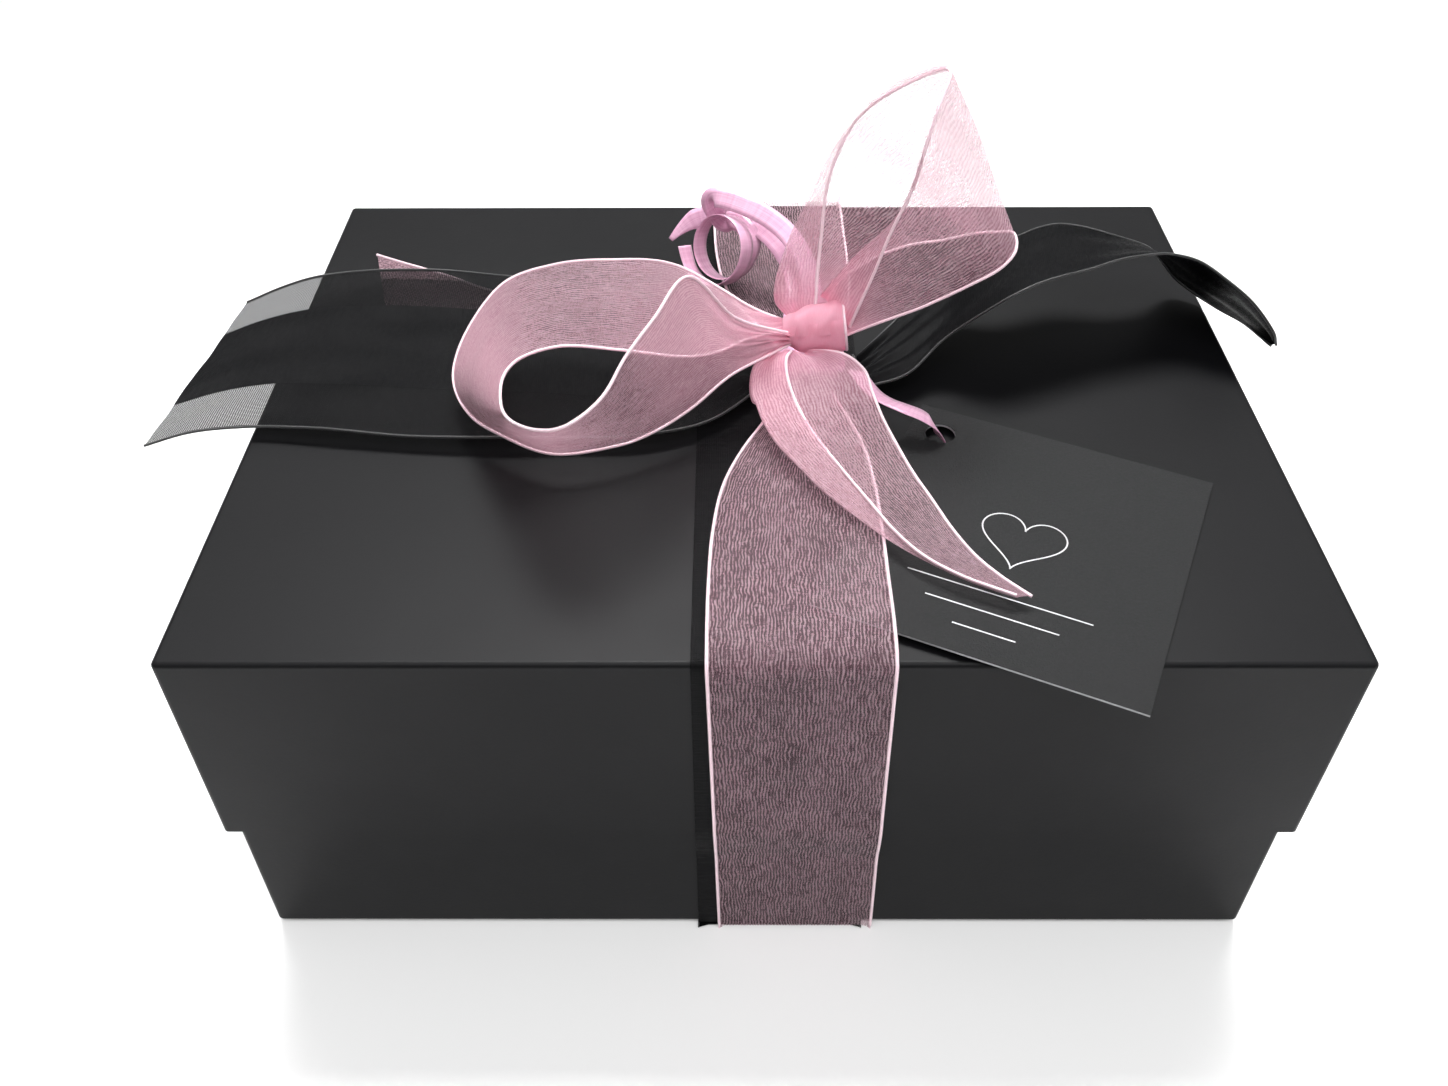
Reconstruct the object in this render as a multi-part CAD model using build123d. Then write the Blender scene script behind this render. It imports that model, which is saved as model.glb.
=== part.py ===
from build123d import *
import os

# Rigid two-piece gift box with a tied ribbon band, bow and hang tag, in millimetres.
# The origin is the centre of the underside, +X runs along the length and -Y faces the front.

# Closed box
lid_length = 260.0
lid_width = 200.0
box_height = 103.9
skirt_depth = 60.0
lid_board = 1.5
base_board = 1.5
wrap_paper = 0.25
corner_tape = 0.12
liner_paper = 0.2
lid_play = 0.35
rim_gap = 0.3
turn_in = 14.0
tape_leg = 16.0
edge_radius = 1.0

# Ribbons
cloth = 0.5
soft_gap = 0.3
pink_width = 40.0
pink_shift = 8.0
black_width = 43.0
black_shift = 6.0
under_ribbon = 0.4
bow_cloth = 1.0
tail_cloth = 0.7

band_slant = 2.0
turn_over = 1.0

# Knots, stacked on the lid around the point where the ribbons cross
knot_x = 14.0
black_knot_size = (26.0, 18.0, 5.9)
tie_size = (18.0, 14.0, 3.2)
bow_knot_size = (16.5, 14.0, 12.6)
bow_knot_shift = (1.0, -2.5)
knot_rounding = 1.6
knot_clearance = 0.7

# Hang tag and the narrow curling ribbon that holds it
tag_height = 80.0
tag_width = 74.0
tag_card = 0.5
tag_yaw = 65.8
tag_rise = 1.15
tag_clearance = 0.45
hole_place = (46.1, -23.6)
hole_from_top = 10.0
hole_from_side = 8.0
hole_radius = 3.75
curl_width = 5.0
coil_radius = 12.5
coil_thickness = 8.0
coil_tilt = 47.5

# Worked out from the sizes above
under_run = 2 * under_ribbon
base_low = under_run + soft_gap
lid_top = base_low + box_height
lid_low = lid_top - skirt_depth
paper = wrap_paper + corner_tape
lid_wall = lid_board + paper + liner_paper
base_length = lid_length - 2 * (lid_wall + lid_play)
base_width = lid_width - 2 * (lid_wall + lid_play)
base_rim = lid_top - lid_wall - rim_gap
black_level = soft_gap + cloth / 2
pink_level = black_level + cloth + soft_gap
black_knot_low = black_level + cloth / 2 + soft_gap
tie_low = black_knot_low + black_knot_size[2] + soft_gap
bow_knot_low = tie_low + tie_size[2] + soft_gap
bow_knot_top = bow_knot_low + bow_knot_size[2]
bow_knot_x = knot_x + bow_knot_shift[0]
black_knot_left = knot_x - black_knot_size[0] / 2 - knot_clearance
black_knot_right = knot_x + black_knot_size[0] / 2 + knot_clearance
bow_knot_left = bow_knot_x - bow_knot_size[0] / 2 - knot_clearance
bow_knot_right = bow_knot_x + bow_knot_size[0] / 2 + knot_clearance

os.makedirs("parts", exist_ok=True)


def save(name, solid):
    export_step(solid, f"parts/{name}.step")


def block(length, width, low, high, radius, closed_side):
    # upright block with rounded corners, and a rounded edge round its closed end
    body = Pos(0, 0, low) * extrude(RectangleRounded(length, width, radius), high - low)
    end = 0 if closed_side == "low" else -1
    return fillet(body.edges().group_by(Axis.Z)[end], 0.9 * radius)


def room(length, width, low, high):
    return Pos(0, 0, low) * Box(length, width, high - low, align=(Align.CENTER, Align.CENTER, Align.MIN))


def tray(name, length, width, low, high, board, closed_side):
    # board shell, corner tapes, outer wrap and liner of one half of the box
    sign = 1 if closed_side == "low" else -1
    closed, rim = (low, high) if closed_side == "low" else (high, low)

    def skin(depth):
        # the outside of the half, taken in by a depth
        ends = sorted((closed + sign * depth, rim))
        size = (length - 2 * depth, width - 2 * depth)
        return block(*size, *ends, edge_radius + paper - depth, closed_side)

    def inside(depth, start=None):
        # the hollow, from a depth behind the board's inner face out through the rim
        floor = closed + sign * (paper + board + depth)
        ends = sorted((floor, rim) if start is None else (start, rim))
        size = (length - 2 * (paper + board + depth), width - 2 * (paper + board + depth))
        return room(*size, *ends)

    board_rim = rim - sign * wrap_paper
    wide, deep = 2 * length, 2 * width
    over_rim = room(wide, deep, *sorted((board_rim, rim)))
    turn_line = rim - sign * turn_in

    save(f"{name}_board", skin(paper) - inside(0) - over_rim)

    tape_end = closed + sign * (edge_radius + paper)
    tape_zone = room(wide, deep, *sorted((tape_end, board_rim)))
    ring = (skin(wrap_paper) - skin(paper)) & tape_zone
    between_x = room(length - 2 * tape_leg, deep, low, high)
    between_y = room(wide, width - 2 * tape_leg, low, high)
    save(f"{name}_corner_tapes", ring - between_x - between_y)

    shell = skin(0) - skin(wrap_paper)
    turned = (inside(0, turn_line) - inside(wrap_paper, turn_line)) - over_rim
    rim_cover = (skin(0) & over_rim) - inside(wrap_paper)
    save(f"{name}_wrap", shell + rim_cover + turned)

    lining = inside(0) - inside(liner_paper)
    save(f"{name}_liner", lining - room(wide, deep, *sorted((turn_line, rim))))


def cloth_solid(points, thickness):
    # closed skin round a strip of cloth, given as pairs of edge points
    pairs = [(Vector(*a), Vector(*b)) for a, b in points]
    middles = [(a + b) * 0.5 for a, b in pairs]
    top, under = [], []
    for i, (a, b) in enumerate(pairs):
        along = middles[min(i + 1, len(pairs) - 1)] - middles[max(i - 1, 0)]
        normal = along.cross(b - a).normalized() * (thickness / 2)
        top.append((a + normal, b + normal))
        under.append((a - normal, b - normal))
    loops = [(top[i][0], top[i][1], under[i][1], under[i][0]) for i in range(len(pairs))]
    faces = []
    for near, far in zip(loops, loops[1:]):
        for k in range(4):
            j = (k + 1) % 4
            corners = [near[k], near[j], far[j], far[k]]
            if k == 2:
                # the lower side is split along the upper side's diagonal, so the thickness stays even
                corners = corners[1:] + corners[:1]
            faces.append(Face(Wire.make_polygon(corners[:3])))
            faces.append(Face(Wire.make_polygon([corners[0], corners[2], corners[3]])))
    for end in (loops[0], loops[-1]):
        faces.append(Face(Wire.make_polygon([end[0], end[1], end[2]])))
        faces.append(Face(Wire.make_polygon([end[0], end[2], end[3]])))
    return Solid(Shell(faces))


def above_lid(pairs):
    # lifts points given from the lid's top face to their place
    return [tuple((x, y, z + lid_top) for x, y, z in pair) for pair in pairs]


def strip(name, pairs, thickness):
    save(name, cloth_solid(above_lid(pairs), thickness))


def lid_band_drop(side, outset, level, low_gap):
    # heights and offsets of a band where it turns over the lid's edge and runs down to the floor
    face = lid_width / 2 + outset
    base_face = base_width / 2 + outset
    return [
        (side * (face - turn_over), level),
        (side * face, level - turn_over),
        (side * face, -skirt_depth),
        (side * base_face, base_low + low_gap - lid_top),
    ]


def crossing(left, right, run, slant=0.0):
    # edge pairs of a straight band, drifting to the right by a slant on the way down
    pairs = []
    for y, z in run:
        drift = slant * max(0.0, -z) / box_height
        pairs.append(((left + drift, y, z), (right + drift, y, z)))
    return pairs


def black_band():
    left = black_shift - black_width / 2
    right = black_shift + black_width / 2
    front = lid_band_drop(-1, black_level, black_level, soft_gap)
    back = lid_band_drop(1, black_level, black_level, soft_gap)
    run = front[::-1] + back
    strip("black_band", crossing(left, right, run), cloth)


def pink_band(name, side):
    left = pink_shift - pink_width / 2
    right = pink_shift + pink_width / 2
    start = black_knot_size[1] / 2 + knot_clearance
    # how far each edge is drawn in towards the knot, then distance from the knot and height
    gathered = [
        (18.0, 8.0, start, 5.4),
        (14.0, 4.0, 20.0, 4.3),
        (8.5, 1.5, 31.0, 3.8),
        (4.0, 0.5, 43.0, 3.5),
        (1.0, 0.0, 62.0, 3.4),
        (0.0, 0.0, 0.9 * lid_width / 2, 3.2),
    ]
    pairs = [((left + a, side * y, z), (right - b, side * y, z)) for a, b, y, z in gathered]
    drop = lid_band_drop(side, pink_level, pink_level, soft_gap)
    strip(name, pairs + crossing(left, right, drop, band_slant), cloth)


def knot(name, size, x, y, low):
    body = Pos(x, y, lid_top + low) * Box(*size, align=(Align.CENTER, Align.CENTER, Align.MIN))
    widest_round = 0.4 * min(size)
    save(name, fillet(body.edges(), min(knot_rounding, widest_round)))


# Points of the bow, from the lid's top face. Each pair is the two edges of the cloth.
left_loop = [
    ((bow_knot_left, 3.6, 18.5), (bow_knot_left, -5.0, 22.0)),
    ((-3.0, 9.0, 20.5), (-3.0, -7.8, 20.0)),
    ((-10.0, 15.0, 21.5), (-9.0, -12.0, 19.5)),
    ((-21.0, 21.0, 24.5), (-17.0, -17.0, 21.0)),
    ((-37.0, 17.0, 28.5), (-33.0, -24.0, 28.0)),
    ((-53.5, 17.0, 27.0), (-49.0, -27.0, 30.5)),
    ((-66.5, 12.0, 24.0), (-57.0, -31.0, 30.0)),
    ((-74.0, 2.0, 19.0), (-60.0, -36.0, 28.5)),
    ((-77.5, -11.0, 13.0), (-59.5, -44.0, 27.0)),
    ((-72.0, -24.0, 8.5), (-55.0, -55.0, 30.0)),
    ((-63.0, -31.0, 7.5), (-48.5, -62.0, 33.0)),
    ((-50.0, -38.0, 7.2), (-42.0, -65.0, 36.0)),
    ((-35.0, -35.0, 7.2), (-35.0, -59.0, 39.0)),
    ((-24.0, -28.5, 8.0), (-29.5, -48.0, 43.0)),
    ((-17.0, -23.0, 9.5), (-23.5, -40.0, 47.0)),
    ((-9.5, -17.0, 13.0), (-16.5, -26.0, 48.0)),
    ((-3.0, -10.8, 14.0), (-6.0, -12.0, 29.0)),
    ((bow_knot_left - bow_cloth, -9.0, 14.5), (bow_knot_left - bow_cloth, -8.4, 19.0)),
]
right_loop = [
    ((19.0, 4.0, bow_knot_top + bow_cloth), (9.5, 3.0, bow_knot_top + bow_cloth)),
    ((20.5, 14.0, 29.0), (6.5, 9.0, 34.0)),
    ((28.0, 16.0, 33.0), (11.0, 8.0, 47.0)),
    ((38.0, 14.0, 34.5), (17.0, 11.5, 58.0)),
    ((49.0, 13.5, 37.5), (23.0, 11.0, 69.0)),
    ((57.0, 10.0, 41.5), (31.0, 8.0, 79.0)),
    ((62.5, -1.0, 45.0), (42.0, 2.5, 85.0)),
    ((58.5, -9.0, 41.5), (38.5, -6.0, 80.0)),
    ((53.5, -10.0, 38.0), (35.0, -8.5, 67.0)),
    ((41.5, -8.5, 30.5), (31.5, -5.5, 52.0)),
    ((31.0, -7.0, 23.5), (23.5, -3.0, 37.0)),
    ((bow_knot_right + bow_cloth / 2, -5.0, 17.5), (bow_knot_right + bow_cloth / 2, 0.0, 23.0)),
]
front_tail = [
    ((9.0, -10.4, 13.0), (20.0, -10.4, 15.0)),
    ((-1.0, -18.0, 13.5), (27.0, -19.0, 15.0)),
    ((0.5, -27.0, 11.0), (29.0, -30.0, 13.5)),
    ((4.0, -37.0, 9.2), (31.5, -40.0, 12.0)),
    ((10.0, -46.0, 8.0), (35.0, -50.0, 10.0)),
    ((18.0, -56.0, 7.0), (39.0, -60.0, 8.0)),
    ((26.0, -65.0, 6.0), (43.0, -67.0, 6.5)),
    ((37.0, -74.0, 5.5), (49.0, -76.0, 5.6)),
    ((56.0, -84.5, 5.0), (58.5, -83.5, 5.0)),
]
back_tail = [
    ((black_knot_left, -1.0, 1.4), (black_knot_left, 8.0, 1.4)),
    ((-25.0, 0.0, 1.4), (-25.0, 27.0, 1.4)),
    ((-50.0, 2.0, 1.4), (-55.0, 37.0, 1.4)),
    ((-75.0, 10.0, 1.4), (-77.0, 45.0, 1.4)),
    ((-90.0, 18.0, 1.4), (-92.0, 51.5, 1.4)),
    ((-104.0, 28.0, 1.4), (-115.0, 67.0, 1.4)),
]
black_left = [
    ((black_knot_left, -8.0, 4.0), (black_knot_left, 8.0, 4.0)),
    ((-12.0, -20.0, 4.2), (-12.0, 24.0, 4.2)),
    ((-30.0, -26.5, 4.2), (-30.0, 38.0, 4.2)),
    ((-65.0, -27.5, 4.2), (-70.0, 49.0, 4.2)),
    ((-91.0, -26.0, 4.0), (-94.0, 53.0, 4.2)),
    ((-115.0, -23.0, 3.8), (-112.0, 53.0, 4.2)),
    ((-130.0, -22.0, 3.6), (-128.0, 50.0, 4.2)),
    ((-144.0, -24.5, 3.5), (-138.0, 43.0, 4.2)),
    ((-154.0, -30.0, 3.5), (-146.0, 36.0, 4.2)),
]
black_right = [
    ((black_knot_right, -8.0, 4.0), (black_knot_right, 8.0, 4.0)),
    ((39.0, -4.0, 7.0), (41.0, 25.0, 8.0)),
    ((50.0, 4.0, 12.5), (56.0, 37.0, 14.0)),
    ((65.0, 4.0, 25.0), (72.0, 41.0, 21.0)),
    ((83.0, 12.0, 28.0), (87.0, 47.0, 22.0)),
    ((96.0, 18.0, 28.0), (103.0, 44.0, 20.0)),
    ((104.0, 20.0, 27.5), (112.0, 44.0, 16.5)),
    ((111.0, 22.0, 26.5), (118.0, 46.0, 10.0)),
    ((118.0, 22.0, 25.0), (122.0, 46.0, 5.5)),
    ((124.5, 17.0, 23.0), (127.0, 42.0, 3.0)),
    ((130.5, 12.5, 19.5), (133.0, 36.0, 1.5)),
    ((137.0, 9.0, 12.0), (138.5, 29.5, 1.0)),
    ((139.8, 9.0, 7.0), (140.4, 12.0, 4.5)),
]

# Routes of the narrow curling ribbon, from the lid's top face
curl_strand_route = [
    (14.5, 7.6, 9.9),
    (15.5, 18.5, 10.1),
    (16.0, 30.5, 11.7),
    (14.5, 43.0, 15.5),
    (9.0, 51.8, 20.3),
    (-1.0, 53.4, 23.2),
]
coil_centre = (-10.5, 50.0, 16.0)
point_strand_route = [
    (8.5, 7.6, 9.9),
    (9.0, 19.0, 8.8),
    (9.5, 33.5, 8.0),
    (7.5, 48.0, 9.0),
    (0.5, 59.0, 12.0),
    (-9.0, 65.5, 14.5),
    (-18.0, 66.5, 14.0),
    (-25.0, 63.5, 8.5),
]
tag_strand_route = [
    (25.8, -6.5, 9.7),
    (29.0, -12.5, 11.1),
    (33.5, -18.0, 11.3),
    (39.5, -21.8, 9.8),
    (44.0, -23.7, 6.3),
    (46.1, -23.8, 1.6),
]


def tube(name, route):
    # plain round stand-in of a narrow ribbon: straight runs joined by tangent arcs
    points = [Vector(x, y, z + lid_top) for x, y, z in route]
    runs = [(b - a).length for a, b in zip(points, points[1:])]
    radii = []
    for i in range(1, len(points) - 1):
        turn = (points[i] - points[i - 1]).get_angle(points[i + 1] - points[i])
        reach = 0.45 * min(runs[i - 1], runs[i])
        radii.append(reach / tan_half(turn))
    print(name, "radii", [round(r, 1) for r in radii])
    path = FilletPolyline(*points, radius=radii)
    section = Plane(path @ 0, z_dir=path % 0) * Circle(curl_width / 2)
    solid = sweep(section, path)
    print(name, "length", round(path.length, 1), "fill", round(solid.volume / (section.area * path.length), 3))
    save(name, solid)


def tan_half(turn):
    half = Vector(1, 0, 0).rotate(Axis.Z, turn / 2)
    return half.Y / half.X


def coil():
    x, y, z = coil_centre
    plane = Pos(x, y, z + lid_top) * Rot(coil_tilt, 0, 0)
    save("curl_ring", plane * Cylinder(coil_radius, coil_thickness))


def hang_tag():
    card = Box(tag_height, tag_width, tag_card, align=(Align.MIN, Align.MIN, Align.MIN))
    hole_x = tag_height - hole_from_top
    hole_y = tag_width - hole_from_side
    hole = Pos(hole_x, hole_y, 0) * Cylinder(hole_radius, 4 * tag_card)
    turn = Rot(0, 0, tag_yaw) * Rot(tag_rise, 0, 0)
    to_hole = (turn * Pos(hole_x, hole_y, 0)).position
    corner = Pos(hole_place[0] - to_hole.X, hole_place[1] - to_hole.Y, lid_top + tag_clearance)
    save("hang_tag", corner * turn * (card - hole))


def under_runs():
    across = base_width + 2 * (pink_level + cloth / 2)
    pieces = (
        ("band_under_run", pink_width, pink_shift + band_slant, 0.0),
        ("black_under_run", black_width, black_shift, under_ribbon),
    )
    for name, width, shift, low in pieces:
        flat = Box(width, across, under_ribbon, align=(Align.CENTER, Align.CENTER, Align.MIN))
        save(name, Pos(shift, 0, low) * flat)


tray("base", base_length, base_width, base_low, base_rim, base_board, "low")
tray("lid", lid_length, lid_width, lid_low, lid_top, lid_board, "high")
black_band()
pink_band("band_front", -1)
pink_band("band_back", 1)
under_runs()

knot("black_knot", black_knot_size, knot_x, 0, black_knot_low)
knot("curl_tie", tie_size, knot_x, 0, tie_low)
knot("bow_knot", bow_knot_size, bow_knot_x, bow_knot_shift[1], bow_knot_low)

strip("bow_loop_left", left_loop, bow_cloth)
strip("bow_loop_right", right_loop, bow_cloth)
strip("bow_tail_front", front_tail, tail_cloth)
strip("bow_tail_back", back_tail, tail_cloth)
strip("black_tail_left", black_left, tail_cloth)
strip("black_tail_right", black_right, tail_cloth)

tube("curl_strand", curl_strand_route)
tube("curl_point", point_strand_route)
tube("tag_strand", tag_strand_route)
coil()
hang_tag()
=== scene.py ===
from bisect import bisect
from math import cos, exp, pi, radians, sin

import bmesh
import bpy
from mathutils import Matrix, Vector, noise


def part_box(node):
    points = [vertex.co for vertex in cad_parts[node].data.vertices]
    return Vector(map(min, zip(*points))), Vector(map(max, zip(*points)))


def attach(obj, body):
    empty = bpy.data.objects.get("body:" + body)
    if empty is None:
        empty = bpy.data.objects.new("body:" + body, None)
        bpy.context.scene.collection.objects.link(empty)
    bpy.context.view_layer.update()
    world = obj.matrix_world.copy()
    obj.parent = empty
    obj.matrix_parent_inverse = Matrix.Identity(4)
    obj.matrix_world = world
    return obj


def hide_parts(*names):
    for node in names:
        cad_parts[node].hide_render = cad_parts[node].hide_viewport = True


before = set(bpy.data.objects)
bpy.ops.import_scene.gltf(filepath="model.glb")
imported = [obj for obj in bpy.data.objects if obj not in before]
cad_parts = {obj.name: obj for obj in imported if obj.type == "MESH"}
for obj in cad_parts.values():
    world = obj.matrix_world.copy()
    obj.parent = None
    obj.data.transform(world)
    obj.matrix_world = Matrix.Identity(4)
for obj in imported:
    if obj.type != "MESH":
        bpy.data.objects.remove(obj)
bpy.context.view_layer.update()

mm = 0.001
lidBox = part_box("lid_wrap")
lidTop = lidBox[1].z
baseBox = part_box("base_wrap")


def onLid(x, y, z):
    # a place given in millimetres from the middle of the lid's top face
    return Vector((x * mm, y * mm, z * mm + lidTop))


cameraSettings = {
    "place": (-6.97, -282.38, 307.3),  # millimetres
    "tilt": 47.46,
    "turn": 0.39,
    "roll": -0.30,
    "lens": 32.02,
}


def makeCamera(settings):
    camera = bpy.data.cameras.new("camera")
    camera.lens = settings["lens"]
    camera.sensor_width = 36.0
    camera.sensor_fit = "HORIZONTAL"
    camera.clip_start = 0.01
    holder = bpy.data.objects.new("camera", camera)
    turn = Matrix.Rotation(radians(settings["turn"]), 4, "Z")
    tilt = Matrix.Rotation(radians(settings["tilt"]), 4, "X")
    roll = Matrix.Rotation(radians(settings["roll"]), 4, "Z")
    place = Matrix.Translation(Vector(settings["place"]) * mm)
    holder.matrix_world = place @ turn @ tilt @ roll
    bpy.context.scene.collection.objects.link(holder)
    bpy.context.scene.camera = holder


makeCamera(cameraSettings)
print("camera placed")

studioSettings = {
    "floorSize": 6.0,
    "floorColour": (0.98, 0.98, 0.98, 1),
    "floorRoughness": 0.9,
    "floorSpecular": 0.1,
    "world": 0.29,
    "lampsAim": (0, 0, 0.08),
    "lamps": [
        # name, place, size, watts, spread of the beam in degrees
        ("backSoftbox", (0.0, 0.9, 1.85), (1.8, 0.7), 7.4, 40.0),
        ("topSoftbox", (-0.3, -0.4, 1.7), (1.4, 1.4), 6.0, 180.0),
        ("frontSoftbox", (0.1, -0.95, 1.9), (1.6, 0.8), 23.0, 180.0),
        ("rightSoftbox", (1.5, -0.5, 1.0), (0.9, 1.2), 3.0, 180.0),
    ],
}


def makeStudio(settings):
    bm = bmesh.new()
    bmesh.ops.create_grid(bm, x_segments=1, y_segments=1, size=settings["floorSize"] / 2)
    mesh = bpy.data.meshes.new("studioFloor")
    bm.to_mesh(mesh)
    bm.free()
    floor = bpy.data.objects.new("studioFloor", mesh)
    bpy.context.scene.collection.objects.link(floor)
    material = bpy.data.materials.new("studioFloor")
    material.use_nodes = True
    shader = material.node_tree.nodes["Principled BSDF"]
    shader.inputs["Base Color"].default_value = settings["floorColour"]
    shader.inputs["Roughness"].default_value = settings["floorRoughness"]
    shader.inputs["Specular IOR Level"].default_value = settings["floorSpecular"]
    mesh.materials.append(material)
    world = bpy.data.worlds.new("studio")
    world.use_nodes = True
    sky = world.node_tree.nodes["Background"]
    sky.inputs["Color"].default_value = (1, 1, 1, 1)
    sky.inputs["Strength"].default_value = settings["world"]
    bpy.context.scene.world = world
    for name, place, size, watts, spread in settings["lamps"]:
        light = bpy.data.lights.new(name, "AREA")
        light.shape = "RECTANGLE"
        light.size, light.size_y = size
        light.energy = watts
        light.spread = radians(spread)
        lamp = bpy.data.objects.new(name, light)
        lamp.location = place
        beam = Vector(settings["lampsAim"]) - Vector(place)
        lamp.rotation_euler = beam.to_track_quat("-Z", "Y").to_euler()
        bpy.context.scene.collection.objects.link(lamp)
    bpy.context.scene.view_settings.view_transform = "Standard"


makeStudio(studioSettings)
print("studio lit")


surfaceInputs = {
    "colour": "Base Color",
    "roughness": "Roughness",
    "specular": "Specular IOR Level",
    "sheen": "Sheen Weight",
    "metallic": "Metallic",
    "normal": "Normal",
    "alpha": "Alpha",
}


class Shading:
    # short names for a material's nodes and links
    def __init__(self, name):
        self.material = bpy.data.materials.new(name)
        self.material.use_nodes = True
        self.tree = self.material.node_tree
        self.shader = self.tree.nodes["Principled BSDF"]
        self.output = self.tree.nodes["Material Output"]

    def node(self, kind, inputs=(), **settings):
        made = self.tree.nodes.new(kind)
        for key, value in settings.items():
            setattr(made, key, value)
        for key, value in dict(inputs).items():
            self.feed(made.inputs[key], value)
        return made

    def feed(self, socket, value):
        # a node's output is linked to the socket, anything else is set on it
        if isinstance(value, bpy.types.NodeSocket):
            self.tree.links.new(value, socket)
        else:
            socket.default_value = value

    def surface(self, **values):
        # the shader's own inputs, by their short names
        for key, value in values.items():
            self.feed(self.shader.inputs[surfaceInputs[key]], value)

    def math(self, operation, first, second=0.0, clamp=False):
        made = self.node("ShaderNodeMath", {0: first, 1: second}, operation=operation, use_clamp=clamp)
        return made.outputs[0]

    def blend(self, first, share, second, rest):
        return self.math("ADD", self.math("MULTIPLY", first, share), self.math("MULTIPLY", second, rest))

    def noise(self, place, scale, detail=4.0, roughness=0.6, distortion=0.0):
        values = {"Vector": place, "Scale": scale, "Detail": detail}
        values.update({"Roughness": roughness, "Distortion": distortion})
        return self.node("ShaderNodeTexNoise", values).outputs["Fac"]

    def between(self, value, low, high, toLow=0.0, toHigh=1.0):
        values = {"Value": value, "From Min": low, "From Max": high, "To Min": toLow, "To Max": toHigh}
        return self.node("ShaderNodeMapRange", values).outputs["Result"]

    def mixColour(self, share, first, second):
        made = self.node("ShaderNodeMix", data_type="RGBA")
        for key, value in (("Factor", share), ("A", first), ("B", second)):
            self.feed([s for s in made.inputs if s.name == key and s.enabled][0], value)
        return [s for s in made.outputs if s.enabled][0]

    def scaled(self, place, scale):
        return self.node("ShaderNodeMapping", {"Vector": place, "Scale": scale}).outputs["Vector"]

    def bump(self, height, distance, strength=1.0):
        values = {"Height": height, "Distance": distance, "Strength": strength}
        return self.node("ShaderNodeBump", values).outputs["Normal"]

    def objectPlace(self):
        return self.node("ShaderNodeTexCoord").outputs["Object"]

    def ribbonPlace(self):
        return self.node("ShaderNodeUVMap", uv_map="ribbon").outputs["UV"]

    def wave(self, place, direction, settings):
        values = {"Vector": place, **settings}
        made = self.node("ShaderNodeTexWave", values, wave_type="BANDS", bands_direction=direction)
        return made.outputs["Fac"]


def shaded(colour, share):
    return tuple(min(1, c * share) for c in colour[:3]) + (1,)


laminateSettings = {
    "colour": (0.0022, 0.0022, 0.0028, 1),
    "worn": (0.0042, 0.0042, 0.0050, 1),
    "specular": 0.14,
    "roughness": (0.40, 0.50),
    "clouds": 14.0,
    "smudges": 55.0,
    "swell": 30.0,
    "grain": 900.0,
    "cloudShare": 0.6,
    "toothShare": 0.25,
    "relief": (0.00012, 0.6),
}


def laminatedPaper(name, settings):
    # matt film over black paper: soft clouds in its gloss and a very fine tooth
    s = Shading(name)
    place = s.objectPlace()
    clouds = s.noise(place, settings["clouds"], 3.0)
    tooth = s.noise(place, settings["grain"], 2.0)
    smudges = s.noise(place, settings["smudges"], 5.0, 0.7)
    spread = s.blend(clouds, settings["cloudShare"], smudges, 1 - settings["cloudShare"])
    fineTooth = s.math("MULTIPLY", tooth, settings["toothShare"])
    swell = s.math("ADD", fineTooth, s.noise(place, settings["swell"], 2.0))
    s.surface(
        colour=s.mixColour(clouds, settings["colour"], settings["worn"]),
        roughness=s.between(spread, 0.3, 0.7, *settings["roughness"]),
        specular=settings["specular"],
        normal=s.bump(swell, *settings["relief"]),
    )
    return s.material


greyboardSettings = {
    "colour": (0.42, 0.40, 0.37, 1),
    "speck": (0.20, 0.19, 0.18, 1),
}
kraftTapeSettings = {
    "colour": (0.50, 0.38, 0.25, 1),
    "speck": (0.35, 0.26, 0.17, 1),
}
boardFibres = {
    "stretch": (1, 1, 6),
    "fibres": 260.0,
    "specks": 700.0,
    "paler": 1.35,
    "roughness": 0.9,
    "relief": (0.0001, 0.5),
}


def plainBoard(name, settings):
    # uncoated grey board or paper with fibres and specks
    s = Shading(name)
    place = s.objectPlace()
    fibres = s.noise(s.scaled(place, boardFibres["stretch"]), boardFibres["fibres"], 6.0, 0.7)
    specks = s.between(s.noise(place, boardFibres["specks"], 2.0), 0.62, 0.72)
    pale = s.mixColour(fibres, settings["colour"], shaded(settings["colour"], boardFibres["paler"]))
    s.surface(
        colour=s.mixColour(specks, pale, settings["speck"]),
        roughness=boardFibres["roughness"],
        normal=s.bump(fibres, *boardFibres["relief"]),
    )
    return s.material


organzaSettings = {
    "pale": (0.83, 0.62, 0.68, 1),
    "deep": (0.70, 0.31, 0.42, 1),
    "bunched": (1.0, 0.50, 0.64, 1),
    "lowest": 0.13,
    "highest": 0.49,
    "gatheredCover": 0.97,
    "gatheredTint": 0.78,
    "throughLight": 0.40,
    "roughness": 0.42,
    "specular": 0.45,
    "sheen": 0.25,
    "relief": (0.0003, 0.8),
    "grain": {
        "Scale": 400.0,
        "Distortion": 10.0,
        "Detail": 3.0,
        "Detail Scale": 0.35,
        "Detail Roughness": 0.6,
    },
    "grainShare": 0.16,
    "wanderGrid": (130, 90, 1),
    "wander": (0.004, 0.004, 0),
    "warpGrid": (3200, 240, 1),
    "weftGrid": (420, 2300, 1),
    "warpShare": 0.66,
    "thread": (0.41, 0.60),
    "patchGrid": (90, 60, 1),
    "patch": 0.14,
}


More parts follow.
